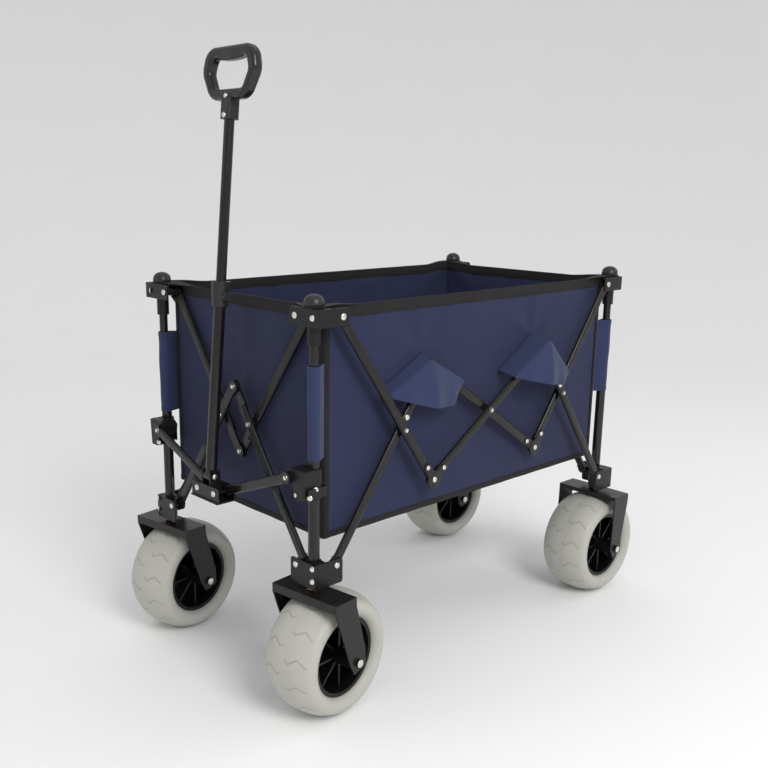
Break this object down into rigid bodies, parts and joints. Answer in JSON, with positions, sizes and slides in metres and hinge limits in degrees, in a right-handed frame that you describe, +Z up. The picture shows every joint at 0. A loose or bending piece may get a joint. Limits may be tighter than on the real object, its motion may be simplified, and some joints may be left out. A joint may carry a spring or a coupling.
{
  "type": "beach cart",
  "caption": "Folding beach cart with a deep open fabric basket, crossed-bar frame on telescoping posts, wide balloon wheels, swivel front castors and a telescoping pull handle.",
  "frame": {"origin": "on the ground plane, midway between the four corner posts", "axes": "+X towards the pull handle at the front, +Y to the cart's left, +Z up"},
  "size_m": [1.0341, 0.6223, 1.1425],
  "materials": {
    "frame": "satin black powder coat",
    "bracket": "satin black powder coat",
    "plastic": "fine-textured black plastic",
    "grip": "semi-gloss dark grey plastic",
    "tyre": "warm light grey polyurethane",
    "hub": "moulded black plastic",
    "basket": "navy polyester oxford weave",
    "floor": "navy polyester over board"
  },
  "bodies": {
    "lower_corner_front_left": {"bottom_bracket_front_left": "bracket", "lower_post_front_left": "frame", "link_clamp_left": "plastic"},
    "upper_corner_front_left": {"top_bracket_front_left": "bracket", "upper_post_front_left": "frame", "basket": "basket"},
    "lower_corner_front_right": {"bottom_bracket_front_right": "bracket", "lower_post_front_right": "frame", "link_clamp_right": "plastic"},
    "upper_corner_front_right": {"top_bracket_front_right": "bracket", "upper_post_front_right": "frame"},
    "lower_corner_rear_left": {"bottom_bracket_rear_left": "bracket", "lower_post_rear_left": "frame", "fork_rear_left": "bracket"},
    "upper_corner_rear_left": {"top_bracket_rear_left": "bracket", "upper_post_rear_left": "frame"},
    "lower_corner_rear_right": {"bottom_bracket_rear_right": "bracket", "lower_post_rear_right": "frame", "fork_rear_right": "bracket"},
    "upper_corner_rear_right": {"top_bracket_rear_right": "bracket", "upper_post_rear_right": "frame"},
    "castor_front_left": {"fork_front_left": "bracket"},
    "castor_front_right": {"fork_front_right": "bracket"},
    "wheel_front_left": {"tyre_front_left": "tyre", "hub_front_left": "hub"},
    "wheel_front_right": {"tyre_front_right": "tyre", "hub_front_right": "hub"},
    "wheel_rear_left": {"tyre_rear_left": "tyre", "hub_rear_left": "hub"},
    "wheel_rear_right": {"tyre_rear_right": "tyre", "hub_rear_right": "hub"},
    "side_bar_front_fall_left": {"side_bar_front_fall_left": "frame"},
    "side_bar_front_rise_left": {"side_bar_front_rise_left": "frame"},
    "side_bar_middle_fall_left": {"side_bar_middle_fall_left": "frame"},
    "side_bar_middle_rise_left": {"side_bar_middle_rise_left": "frame"},
    "side_bar_rear_fall_left": {"side_bar_rear_fall_left": "frame"},
    "side_bar_rear_rise_left": {"side_bar_rear_rise_left": "frame"},
    "side_bar_front_fall_right": {"side_bar_front_fall_right": "frame"},
    "side_bar_front_rise_right": {"side_bar_front_rise_right": "frame"},
    "side_bar_middle_fall_right": {"side_bar_middle_fall_right": "frame"},
    "side_bar_middle_rise_right": {"side_bar_middle_rise_right": "frame"},
    "side_bar_rear_fall_right": {"side_bar_rear_fall_right": "frame"},
    "side_bar_rear_rise_right": {"side_bar_rear_rise_right": "frame"},
    "end_bar_fall_front_left": {"end_bar_fall_front_left": "frame"},
    "end_bar_rise_front_left": {"end_bar_rise_front_left": "frame"},
    "end_bar_fall_front_right": {"end_bar_fall_front_right": "frame"},
    "end_bar_rise_front_right": {"end_bar_rise_front_right": "frame"},
    "end_bar_fall_rear_left": {"end_bar_fall_rear_left": "frame"},
    "end_bar_rise_rear_left": {"end_bar_rise_rear_left": "frame"},
    "end_bar_fall_rear_right": {"end_bar_fall_rear_right": "frame"},
    "end_bar_rise_rear_right": {"end_bar_rise_rear_right": "frame"},
    "pull_link_left": {"pull_link_left": "frame"},
    "pull_link_right": {"pull_link_right": "frame"},
    "pull_bracket": {"pull_bracket": "bracket"},
    "handle_lower": {"handle_outer_tube": "frame", "handle_collar": "plastic"},
    "handle_upper": {"handle_inner_tube": "frame", "handle_grip": "grip"},
    "floor_left": {"floor_left": "floor"},
    "floor_right": {"floor_right": "floor"}
  },
  "joints": [
    {"name": "fold", "type": "hinge", "parent": "lower_corner_front_left", "child": "side_bar_front_rise_left", "pos_m": [0.39, 0.2425, 0.28], "axis": [0, 1, 0], "range_deg": [0, 22], "deforming": ["basket", "floor_left", "floor_right"]},
    {"name": "front_cross_left", "type": "hinge", "parent": "side_bar_front_rise_left", "child": "side_bar_front_fall_left", "pos_m": [0.23593, 0.2425, 0.496], "axis": [0, 1, 0], "range_deg": [-44.5, 0.5]},
    {"name": "front_top_pivot_left", "type": "hinge", "parent": "side_bar_front_fall_left", "child": "upper_corner_front_left", "pos_m": [0.39, 0.2545, 0.712], "axis": [0, 1, 0], "range_deg": [-0.5, 22.5]},
    {"name": "front_peak_left", "type": "hinge", "parent": "side_bar_front_rise_left", "child": "side_bar_middle_fall_left", "pos_m": [0.16, 0.2425, 0.60245], "axis": [0, 1, 0], "range_deg": [-30.29, 0.5]},
    {"name": "middle_cross_left", "type": "hinge", "parent": "side_bar_middle_fall_left", "child": "side_bar_middle_rise_left", "pos_m": [0, 0.2425, 0.496], "axis": [0, 1, 0], "range_deg": [-0.5, 16.07]},
    {"name": "rear_valley_left", "type": "hinge", "parent": "side_bar_middle_fall_left", "child": "side_bar_rear_rise_left", "pos_m": [-0.16, 0.2425, 0.38955], "axis": [0, 1, 0], "range_deg": [-0.5, 30.29]},
    {"name": "rear_cross_left", "type": "hinge", "parent": "side_bar_rear_rise_left", "child": "side_bar_rear_fall_left", "pos_m": [-0.23593, 0.2425, 0.496], "axis": [0, 1, 0], "range_deg": [-44.5, 0.5]},
    {"name": "rear_top_pivot_left", "type": "hinge", "parent": "side_bar_rear_rise_left", "child": "upper_corner_rear_left", "pos_m": [-0.39, 0.2425, 0.712], "axis": [0, 1, 0], "range_deg": [-22.5, 0.5]},
    {"name": "rear_bottom_pivot_left", "type": "hinge", "parent": "side_bar_rear_fall_left", "child": "lower_corner_rear_left", "pos_m": [-0.39, 0.2545, 0.28], "axis": [0, 1, 0], "range_deg": [-0.5, 22.5]},
    {"name": "front_rise_pivot_right", "type": "hinge", "parent": "lower_corner_front_right", "child": "side_bar_front_rise_right", "pos_m": [0.39, -0.2425, 0.28], "axis": [0, 1, 0], "range_deg": [-0.5, 22.5]},
    {"name": "front_cross_right", "type": "hinge", "parent": "side_bar_front_rise_right", "child": "side_bar_front_fall_right", "pos_m": [0.23593, -0.2425, 0.496], "axis": [0, 1, 0], "range_deg": [-44.5, 0.5]},
    {"name": "front_peak_right", "type": "hinge", "parent": "side_bar_front_rise_right", "child": "side_bar_middle_fall_right", "pos_m": [0.16, -0.2425, 0.60245], "axis": [0, 1, 0], "range_deg": [-30.29, 0.5]},
    {"name": "middle_cross_right", "type": "hinge", "parent": "side_bar_middle_fall_right", "child": "side_bar_middle_rise_right", "pos_m": [0, -0.2425, 0.496], "axis": [0, 1, 0], "range_deg": [-0.5, 16.07]},
    {"name": "rear_valley_right", "type": "hinge", "parent": "side_bar_middle_fall_right", "child": "side_bar_rear_rise_right", "pos_m": [-0.16, -0.2425, 0.38955], "axis": [0, 1, 0], "range_deg": [-0.5, 30.29]},
    {"name": "rear_cross_right", "type": "hinge", "parent": "side_bar_rear_rise_right", "child": "side_bar_rear_fall_right", "pos_m": [-0.23593, -0.2425, 0.496], "axis": [0, 1, 0], "range_deg": [-44.5, 0.5]},
    {"name": "rear_top_pivot_right", "type": "hinge", "parent": "side_bar_rear_rise_right", "child": "upper_corner_rear_right", "pos_m": [-0.39, -0.2425, 0.712], "axis": [0, 1, 0], "range_deg": [-22.5, 0.5]},
    {"name": "rear_bottom_pivot_right", "type": "hinge", "parent": "side_bar_rear_fall_right", "child": "lower_corner_rear_right", "pos_m": [-0.39, -0.2545, 0.28], "axis": [0, 1, 0], "range_deg": [-0.5, 22.5]},
    {"name": "front_end_bottom_left", "type": "hinge", "parent": "lower_corner_front_left", "child": "end_bar_rise_front_left", "pos_m": [0.42, 0.1985, 0.28], "axis": [1, 0, 0], "range_deg": [-22.5, 0.5]},
    {"name": "front_end_cross_left", "type": "hinge", "parent": "end_bar_rise_front_left", "child": "end_bar_fall_front_left", "pos_m": [0.408, 0.04443, 0.496], "axis": [1, 0, 0], "range_deg": [-0.5, 44.5]},
    {"name": "front_end_peak", "type": "hinge", "parent": "end_bar_rise_front_left", "child": "end_bar_rise_front_right", "pos_m": [0.42, 0, 0.55829], "axis": [1, 0, 0], "range_deg": [-0.5, 44.5]},
    {"name": "front_end_bottom_right", "type": "hinge", "parent": "end_bar_rise_front_right", "child": "lower_corner_front_right", "pos_m": [0.42, -0.1985, 0.28], "axis": [1, 0, 0], "range_deg": [-22.5, 0.5]},
    {"name": "front_end_cross_right", "type": "hinge", "parent": "end_bar_rise_front_right", "child": "end_bar_fall_front_right", "pos_m": [0.408, -0.04443, 0.496], "axis": [1, 0, 0], "range_deg": [-44.5, 0.5]},
    {"name": "front_end_top_right", "type": "hinge", "parent": "end_bar_fall_front_right", "child": "upper_corner_front_right", "pos_m": [0.408, -0.1985, 0.712], "axis": [1, 0, 0], "range_deg": [-0.5, 22.5]},
    {"name": "rear_end_bottom_left", "type": "hinge", "parent": "lower_corner_rear_left", "child": "end_bar_rise_rear_left", "pos_m": [-0.42, 0.1985, 0.28], "axis": [1, 0, 0], "range_deg": [-22.5, 0.5]},
    {"name": "rear_end_cross_left", "type": "hinge", "parent": "end_bar_rise_rear_left", "child": "end_bar_fall_rear_left", "pos_m": [-0.408, 0.04443, 0.496], "axis": [1, 0, 0], "range_deg": [-0.5, 44.5]},
    {"name": "rear_end_peak", "type": "hinge", "parent": "end_bar_rise_rear_left", "child": "end_bar_rise_rear_right", "pos_m": [-0.42, 0, 0.55829], "axis": [1, 0, 0], "range_deg": [-0.5, 44.5]},
    {"name": "rear_end_cross_right", "type": "hinge", "parent": "end_bar_rise_rear_right", "child": "end_bar_fall_rear_right", "pos_m": [-0.408, -0.04443, 0.496], "axis": [1, 0, 0], "range_deg": [-44.5, 0.5]},
    {"name": "floor_fold_left", "type": "hinge", "parent": "upper_corner_front_left", "child": "floor_left", "pos_m": [0, 0.2165, 0.3263], "axis": [1, 0, 0], "range_deg": [-63.64, 0.5]},
    {"name": "floor_fold_right", "type": "hinge", "parent": "upper_corner_front_right", "child": "floor_right", "pos_m": [0, -0.2165, 0.3263], "axis": [1, 0, 0], "range_deg": [-0.5, 63.64]},
    {"name": "pull_link_top_left", "type": "hinge", "parent": "lower_corner_front_left", "child": "pull_link_left", "pos_m": [0.46, 0.202, 0.442], "axis": [1, 0, 0], "range_deg": [-0.5, 54.18]},
    {"name": "pull_link_foot_left", "type": "hinge", "parent": "pull_link_left", "child": "pull_bracket", "pos_m": [0.46, 0.026, 0.374], "axis": [1, 0, 0], "range_deg": [-54.18, 0.5]},
    {"name": "pull_link_top_right", "type": "hinge", "parent": "lower_corner_front_right", "child": "pull_link_right", "pos_m": [0.46, -0.202, 0.442], "axis": [1, 0, 0], "range_deg": [-54.18, 0.5]},
    {"name": "castor_swivel_left", "type": "hinge", "parent": "lower_corner_front_left", "child": "castor_front_left", "pos_m": [0.424, 0.2285, 0.238], "axis": [0, 0, 1], "continuous": true},
    {"name": "castor_swivel_right", "type": "hinge", "parent": "lower_corner_front_right", "child": "castor_front_right", "pos_m": [0.424, -0.2285, 0.238], "axis": [0, 0, 1], "continuous": true},
    {"name": "wheel_spin_front_left", "type": "hinge", "parent": "castor_front_left", "child": "wheel_front_left", "pos_m": [0.39224, 0.2246, 0.113], "axis": [-0.1219, 0.9925, 0], "continuous": true},
    {"name": "wheel_spin_front_right", "type": "hinge", "parent": "castor_front_right", "child": "wheel_front_right", "pos_m": [0.39239, -0.23351, 0.113], "axis": [-0.1564, 0.9877, 0], "continuous": true},
    {"name": "wheel_spin_rear_left", "type": "hinge", "parent": "lower_corner_rear_left", "child": "wheel_rear_left", "pos_m": [-0.4145, 0.2285, 0.113], "axis": [0, 1, 0], "continuous": true},
    {"name": "wheel_spin_rear_right", "type": "hinge", "parent": "lower_corner_rear_right", "child": "wheel_rear_right", "pos_m": [-0.4145, -0.2285, 0.113], "axis": [0, 1, 0], "continuous": true},
    {"name": "handle_pitch", "type": "hinge", "parent": "pull_bracket", "child": "handle_lower", "pos_m": [0.476, 0, 0.4], "axis": [0, 1, 0], "range_deg": [0, 95]},
    {"name": "handle_slide", "type": "slide", "parent": "handle_lower", "child": "handle_upper", "axis": [-0.0906, 0, 0.9959], "range_m": [-0.25, 0]}
  ],
  "couplings": [
    {"joint": "front_cross_left", "follows": "fold", "ratio": -2},
    {"joint": "front_top_pivot_left", "follows": "fold", "ratio": 1},
    {"joint": "front_peak_left", "follows": "fold", "ratio": -1.3539},
    {"joint": "middle_cross_left", "follows": "fold", "ratio": 0.7078},
    {"joint": "rear_valley_left", "follows": "fold", "ratio": 1.3539},
    {"joint": "rear_cross_left", "follows": "fold", "ratio": -2},
    {"joint": "rear_top_pivot_left", "follows": "fold", "ratio": -1},
    {"joint": "rear_bottom_pivot_left", "follows": "fold", "ratio": 1},
    {"joint": "front_rise_pivot_right", "follows": "fold", "ratio": 1},
    {"joint": "front_cross_right", "follows": "fold", "ratio": -2},
    {"joint": "front_peak_right", "follows": "fold", "ratio": -1.3539},
    {"joint": "middle_cross_right", "follows": "fold", "ratio": 0.7078},
    {"joint": "rear_valley_right", "follows": "fold", "ratio": 1.3539},
    {"joint": "rear_cross_right", "follows": "fold", "ratio": -2},
    {"joint": "rear_top_pivot_right", "follows": "fold", "ratio": -1},
    {"joint": "rear_bottom_pivot_right", "follows": "fold", "ratio": 1},
    {"joint": "front_end_bottom_left", "follows": "fold", "ratio": -1},
    {"joint": "front_end_cross_left", "follows": "fold", "ratio": 2},
    {"joint": "front_end_peak", "follows": "fold", "ratio": 2},
    {"joint": "front_end_bottom_right", "follows": "fold", "ratio": -1},
    {"joint": "front_end_cross_right", "follows": "fold", "ratio": -2},
    {"joint": "front_end_top_right", "follows": "fold", "ratio": 1},
    {"joint": "rear_end_bottom_left", "follows": "fold", "ratio": -1},
    {"joint": "rear_end_cross_left", "follows": "fold", "ratio": 2},
    {"joint": "rear_end_peak", "follows": "fold", "ratio": 2},
    {"joint": "rear_end_cross_right", "follows": "fold", "ratio": -2},
    {"joint": "floor_fold_left", "follows": "fold", "ratio": -2.87},
    {"joint": "floor_fold_right", "follows": "fold", "ratio": 2.87},
    {"joint": "pull_link_top_left", "follows": "fold", "ratio": 2.44},
    {"joint": "pull_link_foot_left", "follows": "fold", "ratio": -2.44},
    {"joint": "pull_link_top_right", "follows": "fold", "ratio": -2.44}
  ]
}
